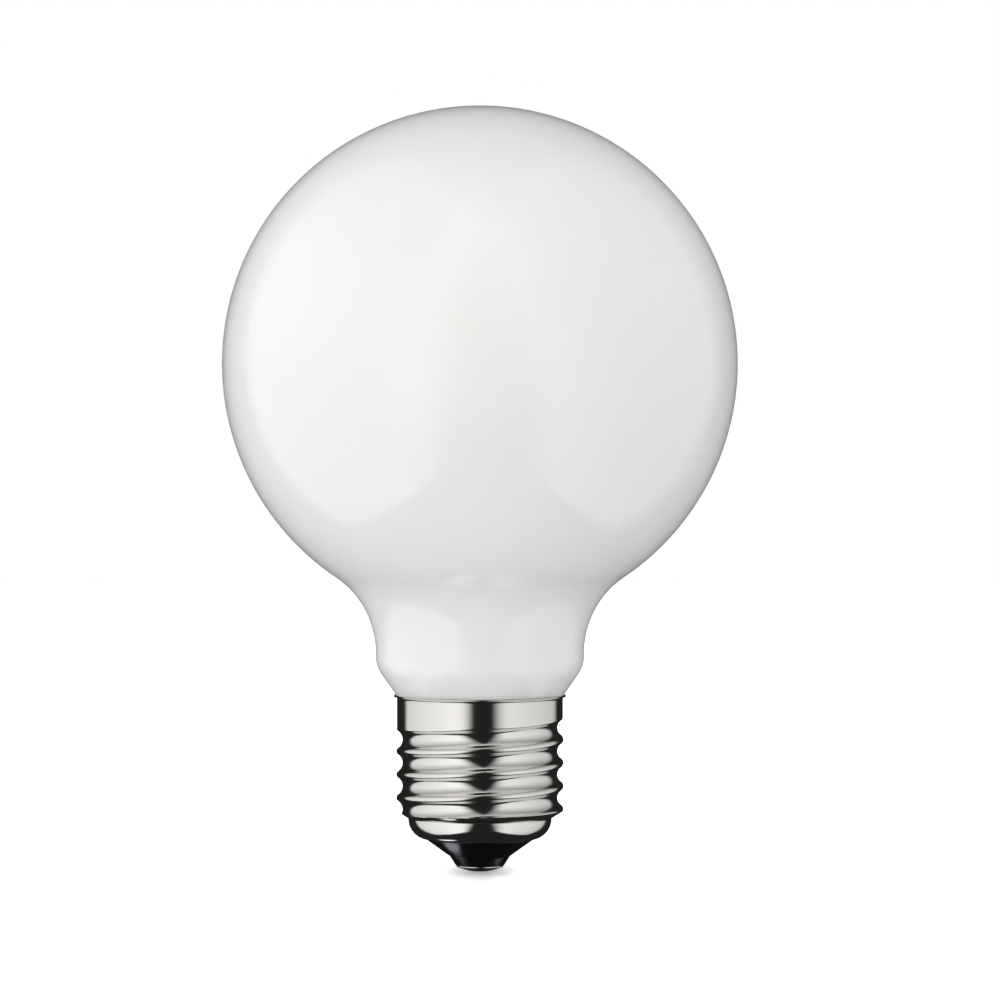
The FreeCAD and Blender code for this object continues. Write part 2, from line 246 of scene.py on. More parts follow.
def nickel_plate(name, settings, bright, worn, roughness):
    """Nickel plate on pressed brass: a bright, slightly warm mirror with fine lines and rubbed crests."""
    material, tree, shader = new_material(name)
    place = add_node(tree, "ShaderNodeTexCoord").outputs["Object"]
    parts = add_node(tree, "ShaderNodeSeparateXYZ", {"Vector": place})
    # Squeezed along the axis, the noise gives fine drawing lines round the cap, about 0.3 mm apart.
    squeezed = add_node(tree, "ShaderNodeMapping", {"Vector": place, "Scale": (1.0, 1.0, 12.0)})
    lines = add_node(
        tree,
        "ShaderNodeTexNoise",
        {"Vector": squeezed.outputs["Vector"], "Scale": 1 / (3.6 * MM), "Detail": 3.0},
    )
    # Soft patches a few millimetres wide where the plate is duller.
    patches = add_node(tree, "ShaderNodeTexNoise", {"Vector": place, "Scale": 1 / (4 * MM), "Detail": 3.0})
    dull = add_node(
        tree,
        "ShaderNodeMapRange",
        {
            "Value": patches.outputs["Fac"],
            "From Min": 0.3,
            "From Max": 0.8,
            "To Min": roughness,
            "To Max": roughness + 0.05,
        },
    )
    # The crests rub against holders, so the plate is a little warmer above the root.
    flat = add_node(tree, "ShaderNodeCombineXYZ", {"X": parts.outputs["X"], "Y": parts.outputs["Y"]})
    out = add_node(tree, "ShaderNodeVectorMath", {0: flat.outputs["Vector"]}, operation="LENGTH")
    crest = add_node(
        tree,
        "ShaderNodeMapRange",
        {
            "Value": out.outputs["Value"],
            "From Min": settings.crest_radius - 0.35 * MM,
            "From Max": settings.crest_radius,
            "To Min": 0.0,
            "To Max": 0.6,
        },
    )
    rubbed = add_node(
        tree, "ShaderNodeMath", {0: crest.outputs["Result"], 1: patches.outputs["Fac"]}, operation="MULTIPLY"
    )
    plate = add_node(
        tree, "ShaderNodeMix", {"Factor": rubbed.outputs["Value"], 6: bright, 7: worn}, data_type="RGBA"
    )
    bump = add_node(
        tree, "ShaderNodeBump", {"Height": lines.outputs["Fac"], "Strength": 0.06, "Distance": 0.05 * MM}
    )
    tree.links.new(plate.outputs[2], shader.inputs["Base Color"])
    tree.links.new(dull.outputs["Result"], shader.inputs["Roughness"])
    tree.links.new(bump.outputs["Normal"], shader.inputs["Normal"])
    shader.inputs["Metallic"].default_value = 1.0
    return material


def black_glass(settings):
    """Black insulating glass, pressed hot into the cap: deep black, glossy, rippled from its mould."""
    material, tree, shader = new_material("pressed_black_glass")
    place = add_node(tree, "ShaderNodeTexCoord").outputs["Object"]
    ripple = add_node(tree, "ShaderNodeTexNoise", {"Vector": place, "Scale": 1 / (2.5 * MM), "Detail": 2.0})
    bump = add_node(
        tree, "ShaderNodeBump", {"Height": ripple.outputs["Fac"], "Strength": 0.3, "Distance": 0.15 * MM}
    )
    # Fine pores and dust, about 0.3 mm across, lift the black here and there.
    pores = add_node(tree, "ShaderNodeTexNoise", {"Vector": place, "Scale": 1 / (0.3 * MM), "Detail": 1.0})
    speck = add_node(
        tree,
        "ShaderNodeMapRange",
        {"Value": pores.outputs["Fac"], "From Min": 0.68, "From Max": 0.8, "To Min": 0.0, "To Max": 1.0},
    )
    tint = add_node(
        tree,
        "ShaderNodeMix",
        {"Factor": speck.outputs["Result"], 6: settings.insulator, 7: linear("#2A2930")},
        data_type="RGBA",
    )
    gloss = add_node(
        tree,
        "ShaderNodeMapRange",
        {"Value": ripple.outputs["Fac"], "From Min": 0.3, "From Max": 0.7, "To Min": 0.12, "To Max": 0.22},
    )
    tree.links.new(tint.outputs[2], shader.inputs["Base Color"])
    tree.links.new(gloss.outputs["Result"], shader.inputs["Roughness"])
    tree.links.new(bump.outputs["Normal"], shader.inputs["Normal"])
    shader.inputs["IOR"].default_value = 1.6
    return material


def baked_cement(settings):
    """Capping cement, baked in place: matt, pale and grainy, with grains about half a millimetre wide."""
    material, tree, shader = new_material("baked_cement")
    place = add_node(tree, "ShaderNodeTexCoord").outputs["Object"]
    grains = add_node(tree, "ShaderNodeTexNoise", {"Vector": place, "Scale": 1 / (0.5 * MM), "Detail": 4.0})
    tint = add_node(
        tree,
        "ShaderNodeMix",
        {"Factor": grains.outputs["Fac"], 6: settings.cement, 7: linear("#A79C86")},
        data_type="RGBA",
    )
    bump = add_node(
        tree, "ShaderNodeBump", {"Height": grains.outputs["Fac"], "Strength": 0.6, "Distance": 0.2 * MM}
    )
    tree.links.new(tint.outputs[2], shader.inputs["Base Color"])
    tree.links.new(bump.outputs["Normal"], shader.inputs["Normal"])
    shader.inputs["Roughness"].default_value = 0.85
    return material


def arc(centre, radius, start, end, steps):
    """Points on an arc about a centre given as radius and height, from a start to an end in radians."""
    turns = [start + (end - start) * step / steps for step in range(steps + 1)]
    return [(centre[0] + radius * math.cos(turn), centre[1] + radius * math.sin(turn)) for turn in turns]


def rounded(corners, steps=8):
    """Outline points through corners given as radius, height and rounding."""
    points = []
    for at, (out, up, rounding) in enumerate(corners):
        corner = Vector((out, up))
        if not rounding:
            points.append((out, up))
            continue
        back = (Vector(corners[at - 1][:2]) - corner).normalized()
        on = (Vector(corners[(at + 1) % len(corners)][:2]) - corner).normalized()
        half = back.angle(on) / 2
        centre = corner + (back + on).normalized() * (rounding / math.sin(half))
        first = corner + back * (rounding / math.tan(half)) - centre
        last = corner + on * (rounding / math.tan(half)) - centre
        start = math.atan2(first.y, first.x)
        sweep = math.remainder(math.atan2(last.y, last.x) - start, 2 * math.pi)
        points += arc(centre, rounding, start, start + sweep, steps)
    return points


def finish_piece(name, mesh, material, replaced):
    """Makes the mesh an object that rides on the bulb and stands for a node of the frame."""
    mesh.materials.clear()
    mesh.materials.append(material)
    piece = bpy.data.objects.new(name, mesh)
    bpy.context.scene.collection.objects.link(piece)
    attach(piece, "root")
    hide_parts(replaced)
    return piece


def turned_mesh(name, outline, closed=False, steps=STEPS_ROUND):
    """Turns an outline about the bulb's axis. It runs out along the foot, up the side and in again.

    An outline that starts and ends on the axis is closed there by single points, and a closed one joins
    its own start.
    """
    shape = bmesh.new()
    rings = []
    for out, up in outline:
        if out < 1e-7:
            rings.append([shape.verts.new((0, 0, up))])
            continue
        turns = [2 * math.pi * step / steps for step in range(steps)]
        rings.append([shape.verts.new((out * math.cos(turn), out * math.sin(turn), up)) for turn in turns])
    pairs = list(zip(rings, rings[1:]))
    if closed:
        pairs.append((rings[-1], rings[0]))
    for low, high in pairs:
        for step in range(steps):
            beside = (step + 1) % steps
            corners = [low[step % len(low)], low[beside % len(low)]]
            corners += [high[beside % len(high)], high[step % len(high)]]
            shape.faces.new(list(dict.fromkeys(corners)))
    for face in shape.faces:
        face.smooth = True
    mesh = bpy.data.meshes.new(name)
    shape.to_mesh(mesh)
    shape.free()
    mesh.set_sharp_from_angle(angle=math.radians(40))
    return mesh


class GLOBE_BULB_OT_glass_envelope(bpy.types.Operator):
    """Blows the opal glass: a sphere that runs into a neck, a shoulder and the end sealed in the cap"""

    bl_idname = "globe_bulb.glass_envelope"
    bl_label = "Glass envelope"

    def execute(self, context):
        sizes = context.scene.globe_bulb_glass
        rim = SHELL_TOP.z
        globe = Vector((0, GLASS_TOP.z - sizes.globe_radius))
        fillet = Vector((sizes.neck_radius + sizes.neck_fillet, 0))
        fillet.y = globe.y - math.sqrt((sizes.globe_radius + sizes.neck_fillet) ** 2 - fillet.x**2)
        # The direction from the fillet's centre to the globe's, where the two curves touch.
        touch = math.atan2(globe.y - fillet.y, globe.x - fillet.x)
        shoulder = Vector((sizes.neck_radius - sizes.shoulder_round, 0))
        taper_top = shoulder.x + sizes.shoulder_round * math.cos(sizes.seat_taper)
        slope = math.tan(sizes.seat_taper)
        shoulder.y = rim + (taper_top - sizes.seat_radius) / slope
        shoulder.y += sizes.shoulder_round * math.sin(sizes.seat_taper)
        end = GLASS_FOOT.z
        outline = [(0, end)]
        outline += rounded(
            [
                (0, end, 0),
                (sizes.end_radius, end, sizes.end_round),
                (sizes.end_radius, rim - (sizes.seat_radius - sizes.end_radius) / slope, 0),
            ]
        )[1:]
        # Just below the rim the glass steps in, clear of the sheet's curve.
        outline.append((sizes.seat_radius - sizes.step_in, rim - sizes.step_down))
        outline.append((sizes.seat_radius, rim))
        above = 0.05 * MM
        outline.append((sizes.seat_radius + above * slope, rim + above))
        outline += arc(shoulder, sizes.shoulder_round, -sizes.seat_taper, 0, 14)
        outline += arc(fillet, sizes.neck_fillet, math.pi, touch, 40)
        outline += arc(globe, sizes.globe_radius, touch - math.pi, math.pi / 2, 150)[1:-1]
        outline.append((0, GLASS_TOP.z))
        mesh = turned_mesh("opal_glass_bulb", outline, steps=GLOBE_STEPS_ROUND)
        finish_piece("opal_glass_bulb", mesh, opal_glass(sizes), "glass_bulb")
        return {"FINISHED"}


# How the rolled shell's radius is worked out at each point: a name, an operation and what goes into it.
THREAD_SUMS = (
    ("rise", "SUBTRACT", "height", "Groove top"),
    ("rise in turns", "DIVIDE", "rise", "Pitch"),
    ("grooves up", "SUBTRACT", "rise in turns", "round"),
    ("nearest groove", "ROUND", "grooves up"),
    ("share of pitch", "SUBTRACT", "grooves up", "nearest groove"),
    ("signed offset", "MULTIPLY", "share of pitch", "Pitch"),
    ("offset", "ABSOLUTE", "signed offset"),
    ("turns past top", "ADD", "round", "nearest groove"),
    ("half pitch", "MULTIPLY", "Pitch", 0.5),
    ("offset squared", "POWER", "offset", 2.0),
    ("valley squared", "POWER", "Valley round", 2.0),
    ("valley room", "SUBTRACT", "valley squared", "offset squared"),
    ("valley drop", "SQRT", "valley room"),
    ("valley form", "SUBTRACT", "Valley round", "valley drop"),
    ("from crest", "SUBTRACT", "half pitch", "offset"),
    ("from crest squared", "POWER", "from crest", 2.0),
    ("crest squared", "POWER", "Crest round", 2.0),
    ("crest room", "SUBTRACT", "crest squared", "from crest squared"),
    ("crest drop", "SQRT", "crest room"),
    ("crest base", "SUBTRACT", "Depth", "Crest round"),
    ("crest form", "ADD", "crest base", "crest drop"),
    ("past the meet", "GREATER_THAN", "offset", "Meeting offset"),
    ("form gap", "SUBTRACT", "crest form", "valley form"),
    ("form step", "MULTIPLY", "form gap", "past the meet"),
    ("form", "ADD", "valley form", "form step"),
    ("run-out share", "DIVIDE", "turns past top", "Run-out turns"),
    ("run-out", "MAXIMUM", "run-out share", 0.0),
    ("lift", "MULTIPLY", "run-out", "Run-out lift"),
    ("past the run-out", "GREATER_THAN", "run-out share", 1.0),
    ("out of reach", "MULTIPLY", "past the run-out", "Root radius"),
    ("offset share", "DIVIDE", "offset", "half pitch"),
    ("offset share squared", "POWER", "offset share", 2.0),
    ("lift weight", "SUBTRACT", 1.0, "offset share squared"),
    ("weighed lift", "MULTIPLY", "lift", "lift weight"),
    ("rolled floor", "ADD", "Root radius", "weighed lift"),
    ("groove floor", "ADD", "rolled floor", "out of reach"),
    ("groove radius", "ADD", "groove floor", "form"),
    ("radius", "SMOOTH_MIN", "blank radius", "groove radius", "Edge softness"),
    ("angle", "MULTIPLY", "round", 2 * math.pi),
    ("cosine", "COSINE", "angle"),
    ("sine", "SINE", "angle"),
    ("across", "MULTIPLY", "radius", "cosine"),
    ("deep", "MULTIPLY", "radius", "sine"),
)


def rolled_shell_tree(sizes, rows):
    """Geometry nodes that turn a shell's blank, given as a line of points, and roll a thread into it.

    Each point of the blank becomes one row round the shell. Returns the tree and the values of its inputs.
    """
    # Two tangent arcs over half a pitch and the thread's depth have radii that add up to this.
    both_rounds = ((sizes.thread_pitch / 2) ** 2 + sizes.thread_depth**2) / (2 * sizes.thread_depth)
    valley_round = both_rounds - sizes.crest_round
    inputs = {
        "Steps round": ("NodeSocketInt", STEPS_ROUND),
        "Rows": ("NodeSocketInt", rows),
        "Root radius": ("NodeSocketFloat", sizes.crest_radius - sizes.thread_depth),
        "Pitch": ("NodeSocketFloat", sizes.thread_pitch),
        "Depth": ("NodeSocketFloat", sizes.thread_depth),
        "Valley round": ("NodeSocketFloat", valley_round),
        "Crest round": ("NodeSocketFloat", sizes.crest_round),
        "Meeting offset": ("NodeSocketFloat", sizes.thread_pitch / 2 * valley_round / both_rounds),
        "Groove top": ("NodeSocketFloat", sizes.groove_top),
        "Run-out turns": ("NodeSocketFloat", sizes.runout_turns),
        "Run-out lift": ("NodeSocketFloat", sizes.runout_lift),
        "Edge softness": ("NodeSocketFloat", sizes.edge_softness),
        "Metal": ("NodeSocketMaterial", None),
    }
    tree = bpy.data.node_groups.new("rolled_shell", "GeometryNodeTree")
    tree.interface.new_socket("Blank", in_out="INPUT", socket_type="NodeSocketGeometry")
    for name, (kind, _) in inputs.items():
        tree.interface.new_socket(name, in_out="INPUT", socket_type=kind)
    tree.interface.new_socket("Shell", in_out="OUTPUT", socket_type="NodeSocketGeometry")

    given = add_node(tree, "NodeGroupInput").outputs
    columns = add_node(tree, "ShaderNodeMath", {0: given["Steps round"], 1: 1.0}, operation="ADD")
    grid = add_node(
        tree,
        "GeometryNodeMeshGrid",
        {
            "Size X": 1.0,
            "Size Y": 1.0,
            "Vertices X": columns.outputs["Value"],
            "Vertices Y": given["Rows"],
        },
    )
    spot = add_node(tree, "GeometryNodeInputPosition").outputs["Position"]
    parts = add_node(tree, "ShaderNodeSeparateXYZ", {"Vector": spot})
    across = add_node(tree, "ShaderNodeMath", {0: parts.outputs["X"], 1: 0.5}, operation="ADD")
    count = add_node(tree, "GeometryNodeInputIndex").outputs["Index"]
    row = add_node(tree, "ShaderNodeMath", {0: count, 1: given["Rows"]}, operation="MODULO")
    blank = add_node(
        tree,
        "GeometryNodeSampleIndex",
        {"Geometry": given["Blank"], "Value": spot, "Index": row.outputs["Value"]},
        data_type="FLOAT_VECTOR",
        domain="POINT",
    )
    on_blank = add_node(tree, "ShaderNodeSeparateXYZ", {"Vector": blank.outputs["Value"]})
    known = {name: given[name] for name in inputs}
    known["round"] = across.outputs["Value"]
    known["blank radius"] = on_blank.outputs["X"]
    known["height"] = on_blank.outputs["Z"]
    for name, operation, *terms in THREAD_SUMS:
        sources = {at: known.get(term, term) for at, term in enumerate(terms)}
        step = add_node(tree, "ShaderNodeMath", sources, operation=operation, label=name)
        known[name] = step.outputs["Value"]
    place = add_node(
        tree, "ShaderNodeCombineXYZ", {"X": known["across"], "Y": known["deep"], "Z": known["height"]}
    )
    rolled = add_node(
        tree,
        "GeometryNodeSetPosition",
        {"Geometry": grid.outputs["Mesh"], "Position": place.outputs["Vector"]},
    )
    # The first column and the last lie on one another, and become one.
    joined = add_node(
        tree,
        "GeometryNodeMergeByDistance",
        {"Geometry": rolled.outputs["Geometry"], "Distance": 0.001 * MM},
    )
    smooth = add_node(tree, "GeometryNodeSetShadeSmooth", {"Geometry": joined.outputs["Geometry"]})
    real = add_node(tree, "GeometryNodeRealizeInstances", {"Geometry": smooth.outputs["Geometry"]})
    plated = add_node(
        tree,
        "GeometryNodeSetMaterial",
        {"Geometry": real.outputs["Geometry"], "Material": given["Metal"]},
    )
    add_node(tree, "NodeGroupOutput", {"Shell": plated.outputs["Geometry"]})
    return tree, {name: value for name, (_, value) in inputs.items()}


def spaced(outline, step):
    """The same outline with points added on its long runs, so that none lie further apart than the step."""
    points = outline[:1]
    for start, end in zip(outline, outline[1:]):
        run = Vector(end) - Vector(start)
        pieces = max(1, math.ceil(run.length / step))
        points += [tuple(Vector(start) + run * piece / pieces) for piece in range(1, pieces + 1)]
    return points


def bowl_start(sizes):
    """The angle on the bowl's arc at which the shell's foot ends."""
    return -math.acos((sizes.foot_radius - sizes.bowl_radius + sizes.bowl_round) / sizes.bowl_round)


class GLOBE_BULB_OT_screw_shell(bpy.types.Operator):
    """Rolls the thread into the pressed screw shell, from its flared rim to the bowl at its foot"""

    bl_idname = "globe_bulb.screw_shell"
    bl_label = "Screw shell"

    def execute(self, context):
        sizes = context.scene.globe_bulb_cap
        rim = SHELL_TOP.z
        bowl = (sizes.bowl_radius - sizes.bowl_round, SHELL_FOOT.z + sizes.bowl_round)
        # Above the bowl the blank widens to just past the crests, so that the groove alone shapes the thread.
        skirt = sizes.crest_radius + 0.05 * MM
        skirt_foot = bowl[1] + 1.3 * MM
        skirt_top = sizes.groove_top - 0.7 * MM
        flare_foot = rim - 0.44 * MM
        flare_edge = rim - 0.23 * MM
        blank = arc(bowl, sizes.bowl_round, bowl_start(sizes), 0, 24)
        blank += rounded(
            [
                (sizes.bowl_radius, bowl[1], 0),
                (sizes.bowl_radius, bowl[1] + 0.1 * MM, 0.05 * MM),
                (skirt, skirt_foot, 0.5 * MM),
                (skirt, skirt_top, 1.0 * MM),
                (sizes.collar_radius, sizes.groove_top, 1.0 * MM),
                (sizes.collar_radius, flare_foot, 0.2 * MM),
                (sizes.rim_radius, flare_edge, 0),
            ],
            steps=10,
        )[1:]
        blank = spaced(blank, sizes.thread_pitch / ROWS_PER_PITCH)
        line = bpy.data.meshes.new("shell_blank")
        points = [(out, 0, up) for out, up in blank]
        line.from_pydata(points, [(at, at + 1) for at in range(len(points) - 1)], [])
        host = bpy.data.objects.new("shell_blank", line)
        context.scene.collection.objects.link(host)
        metal = nickel_plate("nickel_plated_pressed_brass", sizes, sizes.nickel, sizes.nickel_worn, 0.1)
        tree, values = rolled_shell_tree(sizes, len(blank))
        values["Metal"] = metal
        rolling = host.modifiers.new("rolling", "NODES")
        rolling.node_group = tree
        for socket in tree.interface.items_tree:
            if socket.in_out == "INPUT" and socket.name in values:
                rolling[socket.identifier] = values[socket.name]
        wall = host.modifiers.new("sheet", "SOLIDIFY")
        wall.thickness = sizes.sheet
        wall.offset = -1.0
        wall.use_even_offset = True
        mesh = bpy.data.meshes.new_from_object(host.evaluated_get(context.evaluated_depsgraph_get()))
        mesh.name = "rolled_screw_shell"
        mesh.set_sharp_from_angle(angle=math.radians(50))
        bpy.data.objects.remove(host)
        finish_piece("rolled_screw_shell", mesh, metal, "screw_shell")
        return {"FINISHED"}


class GLOBE_BULB_OT_cap_insulator(bpy.types.Operator):
    """Presses the black glass insulator that closes the shell's foot"""

    bl_idname = "globe_bulb.cap_insulator"
    bl_label = "Cap insulator"

    def execute(self, context):
        sizes = context.scene.globe_bulb_cap
        seat = INSULATOR_FOOT.z
        bowl = (sizes.bowl_radius - sizes.bowl_round, SHELL_FOOT.z + sizes.bowl_round)
        seat_round = sizes.bowl_round - sizes.sheet
        bore = sizes.tail_radius + sizes.tail_play
        tube_end = seat + sizes.tube_height
        # The glass fills the bowl up to its own top.
        fill_end = math.asin((INSULATOR_TOP.z - bowl[1]) / seat_round)
        seated = arc(bowl, seat_round, bowl_start(sizes), fill_end, 16)
        outline = rounded(
            [
                (bore, seat, 0),
                (sizes.tip_radius, seat, 0.15 * MM),
                (sizes.waist_radius, seat + sizes.waist_height, 0.6 * MM),
                (seated[0][0], SHELL_FOOT.z, 0.1 * MM),
                (*seated[0], 0),
            ]
        )
        outline += seated[1:]
        outline += rounded(
            [
                (*seated[-1], 0),
                (seated[-1][0] - sizes.lip_width, INSULATOR_TOP.z, 0.3 * MM),
                (sizes.tube_radius, tube_end, 0.3 * MM),
                (bore, tube_end, 0),
            ]
        )[1:]
        mesh = turned_mesh("pressed_insulator", outline, closed=True)
        finish_piece("pressed_insulator", mesh, black_glass(sizes), "cap_insulator")
        return {"FINISHED"}


class GLOBE_BULB_OT_centre_contact(bpy.types.Operator):
    """Stamps the domed centre contact, with its tail in the insulator"""

    bl_idname = "globe_bulb.centre_contact"
    bl_label = "Centre contact"

    def execute(self, context):
        sizes = context.scene.globe_bulb_cap
        disc = sizes.disc_radius
        edge = CONTACT_FOOT.z + sizes.disc_dome
        seat = INSULATOR_FOOT.z
        dome_round = (disc**2 + sizes.disc_dome**2) / (2 * sizes.disc_dome)
        half = math.asin(disc / dome_round)
        centre = (0, CONTACT_FOOT.z + dome_round)
        outline = [(0, CONTACT_FOOT.z)]
        outline += arc(centre, dome_round, -math.pi / 2, -math.pi / 2 + half, 24)[1:-1]
        outline += rounded(
            [
                (disc - 0.2 * MM, edge - 0.05 * MM, 0),
                (disc, edge, 0.06 * MM),
                (disc, seat, 0.05 * MM),
                (sizes.tail_radius, seat, 0),
                (sizes.tail_radius, CONTACT_TOP.z, 0.1 * MM),
                (0, CONTACT_TOP.z, 0),
            ]
        )[1:]
        mesh = turned_mesh("stamped_contact", outline)
        metal = nickel_plate("nickel_plated_stamped_brass", sizes, sizes.contact, sizes.nickel_worn, 0.2)
        finish_piece("stamped_contact", mesh, metal, "centre_contact")
        return {"FINISHED"}


class GLOBE_BULB_OT_capping_cement(bpy.types.Operator):
    """Gives the cement ring, which the frame already has, its finish"""

    bl_idname = "globe_bulb.capping_cement"
    bl_label = "Capping cement"

    def execute(self, context):
        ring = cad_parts["capping_cement"]
        ring.material_slots[0].material = baked_cement(context.scene.globe_bulb_cap)
        return {"FINISHED"}


def card(name, corners, material):
    """A studio card or box, given by its faces' corners."""
    mesh = bpy.data.meshes.new(name)
    faces = [range(at, at + 4) for at in range(0, len(corners), 4)]
    mesh.from_pydata(corners, [], list(faces))
    mesh.materials.append(material)
    flat = bpy.data.objects.new(name, mesh)
    bpy.context.scene.collection.objects.link(flat)
    flat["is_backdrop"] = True
    return flat


def faded_card(radiance, long, wide):
    """A pale card, faintly violet, that fades out from its middle to its edges."""
    material, tree, shader = new_material("faded_card")
    place = add_node(tree, "ShaderNodeTexCoord").outputs["Object"]
    shares = add_node(
        tree, "ShaderNodeVectorMath", {0: place, 1: (1 / long, 1 / wide, 0.0)}, operation="MULTIPLY"
    )
    out = add_node(tree, "ShaderNodeVectorMath", {0: shares.outputs["Vector"]}, operation="LENGTH")
    glow = add_node(
        tree,
        "ShaderNodeMapRange",
        {"Value": out.outputs["Value"], "From Min": 0.5, "From Max": 1.0, "To Min": radiance, "To Max": 0.02},
        interpolation_type="SMOOTHSTEP",
    )
    shader.inputs["Base Color"].default_value = (0, 0, 0, 1)
    shader.inputs["Specular IOR Level"].default_value = 0.0
    shader.inputs["Emission Color"].default_value = linear("#F6F5FF")
    tree.links.new(glow.outputs["Result"], shader.inputs["Emission Strength"])
    return material


def mirrored_only(flat):
    """Leaves a card out of everything but what glossy surfaces mirror."""
    flat.visible_camera = False
    flat.visible_diffuse = False
    flat.visible_transmission = False
    flat.visible_shadow = False


def light_scrim(name, radiance, azimuth, distance, inner, outer, lean):
    """A tall white cloth lit from behind. It stands beside the bulb and leans over it.

    The azimuth counts from the camera, with the right positive. The cloth fades out at its upright edges:
    the inner one, towards the camera, and the outer one are each given by where the cloth starts to fade
    and where it is dark.
    """
    material, tree, shader = new_material(name + "_cloth")
    place = add_node(tree, "ShaderNodeTexCoord").outputs["Object"]
    parts = add_node(tree, "ShaderNodeSeparateXYZ", {"Vector": place}).outputs
    near = add_node(
        tree,
        "ShaderNodeMapRange",
        {"Value": parts["X"], "From Min": inner[1], "From Max": inner[0]},
        interpolation_type="SMOOTHSTEP",
    )
    far = add_node(
        tree,
        "ShaderNodeMapRange",
        {"Value": parts["X"], "From Min": -outer[1], "From Max": -outer[0]},
        interpolation_type="SMOOTHSTEP",
    )
    # The lamp behind the cloth stands near the camera, so the cloth is dimmer towards its far edge.
    depth = add_node(
        tree,
        "ShaderNodeMapRange",
        {"Value": parts["X"], "From Min": -0.5, "From Max": 0.3, "To Min": 0.73, "To Max": 1.0},
    )
    edge = add_node(
        tree, "ShaderNodeMath", {0: far.outputs["Result"], 1: depth.outputs["Result"]}, operation="MULTIPLY"
    )
    # The cloth is lit from a low stand, so it is dimmer towards its top.
    height = add_node(
        tree,
        "ShaderNodeMapRange",
        {
            "Value": parts["Y"],
            "From Min": -0.1,
            "From Max": 0.7,
            "To Min": radiance,
            "To Max": 0.45 * radiance,
        },
        interpolation_type="SMOOTHSTEP",
    )
    glow = add_node(
        tree, "ShaderNodeMath", {0: near.outputs["Result"], 1: edge.outputs["Value"]}, operation="MULTIPLY"
    )
    light = add_node(
        tree, "ShaderNodeMath", {0: glow.outputs["Value"], 1: height.outputs["Result"]}, operation="MULTIPLY"
    )
    shader.inputs["Base Color"].default_value = (0, 0, 0, 1)
    shader.inputs["Specular IOR Level"].default_value = 0.0
    shader.inputs["Emission Color"].default_value = (1, 1, 1, 1)
    tree.links.new(light.outputs["Value"], shader.inputs["Emission Strength"])
    low, high = -1.2, 1.5
    corners = [(-outer[1], low, 0), (inner[1], low, 0), (inner[1], high, 0), (-outer[1], high, 0)]
    scrim = card(name, corners, material)
    away = Vector((math.sin(azimuth), -math.cos(azimuth), 0))
    side = Vector((0, 0, 1)).cross(away)
    side *= math.copysign(1, -side.y)
    up = Vector((0, 0, 1)) * math.cos(lean) - away * math.sin(lean)
    turn = Matrix((side, up, side.cross(up))).transposed()
    scrim.matrix_world = Matrix.Translation(away * distance) @ turn.to_4x4()
    scrim.visible_camera = False
    scrim.visible_shadow = False
    return scrim


def soft_lamp(name, radiance, place):
    """A softbox a metre wide, aimed at the bulb. It lights the opal glass and isn't mirrored in the metal."""
    light = bpy.data.lights.new(name, "AREA")
    light.size = 1.0
    light.energy = radiance * math.pi * light.size**2
    lamp = bpy.data.objects.new(name, light)
    bpy.context.scene.collection.objects.link(lamp)
    lamp.location = place
    lamp.rotation_euler = (-lamp.location).to_track_quat("-Z", "Y").to_euler()
    lamp.visible_glossy = False
    lamp.visible_camera = False
    return lamp


def looked_at(tree):
    """Gives 1 for rays that look, straight or by way of mirrors and glass, and 0 for rays that gather light."""
    path = add_node(tree, "ShaderNodeLightPath").outputs
    seen = add_node(
        tree, "ShaderNodeMath", {0: path["Is Camera Ray"], 1: path["Is Glossy Ray"]}, operation="MAXIMUM"
    )
    through = add_node(
        tree,
        "ShaderNodeMath",
        {0: seen.outputs["Value"], 1: path["Is Transmission Ray"]},
        operation="MAXIMUM",
    )
    return through.outputs["Value"]


def pale_floor(settings):
    """A pale, matt studio floor that runs into the white behind it and keeps the bulb's shadow, with a painted
    shadow near its tip.
    """
    material, tree, shader = new_material("matt_studio_floor")
    # The floor is plain white some way from the bulb. Near its tip an ellipse, narrow across and long towards
    # the camera, takes white away: there it shows how it is lit, and the ellipse also greys it as a painted
    # shadow.
    place = add_node(tree, "ShaderNodeTexCoord").outputs["Object"]
    patch = (1 / settings.painted_shadow_width, 1 / settings.painted_shadow_depth, 0.0)
    shares = add_node(tree, "ShaderNodeVectorMath", {0: place, 1: patch}, operation="MULTIPLY")
    out = add_node(tree, "ShaderNodeVectorMath", {0: shares.outputs["Vector"]}, operation="LENGTH")
    white = add_node(
        tree,
        "ShaderNodeMapRange",
        {"Value": out.outputs["Value"], "From Min": 0.0, "From Max": 1.2, "To Min": 0.2, "To Max": 1.0},
        interpolation_type="SMOOTHSTEP",
    )
    lift = add_node(
        tree, "ShaderNodeMath", {0: looked_at(tree), 1: white.outputs["Result"]}, operation="MULTIPLY"
    )
    shader.inputs["Base Color"].default_value = settings.floor
    shader.inputs["Roughness"].default_value = 0.9
    shader.inputs["Specular IOR Level"].default_value = 0.0
    shader.inputs["Emission Color"].default_value = (1, 1, 1, 1)
    tree.links.new(lift.outputs["Value"], shader.inputs["Emission Strength"])
    return material


def white_world(settings):
    """White where it is looked at, straight or in a mirror, and a dim even light for everything else."""
    world = bpy.data.worlds.new("white_studio")
    world.use_nodes = True
    tree = world.node_tree
    tree.nodes.clear()
    strength = add_node(
        tree,
        "ShaderNodeMapRange",
        {
            "Value": looked_at(tree),
            "From Min": 0.0,
            "From Max": 1.0,
            "To Min": settings.room_light,
            "To Max": 1.0,
        },
    )
    light = add_node(
        tree, "ShaderNodeBackground", {"Color": (1, 1, 1, 1), "Strength": strength.outputs["Result"]}
    )
    add_node(tree, "ShaderNodeOutputWorld", {"Surface": light.outputs["Background"]})
    return world


def square(reach):
    """The corners of a square about the axis, given by half its side."""
    return [(-reach, -reach), (reach, -reach), (reach, reach), (-reach, reach)]


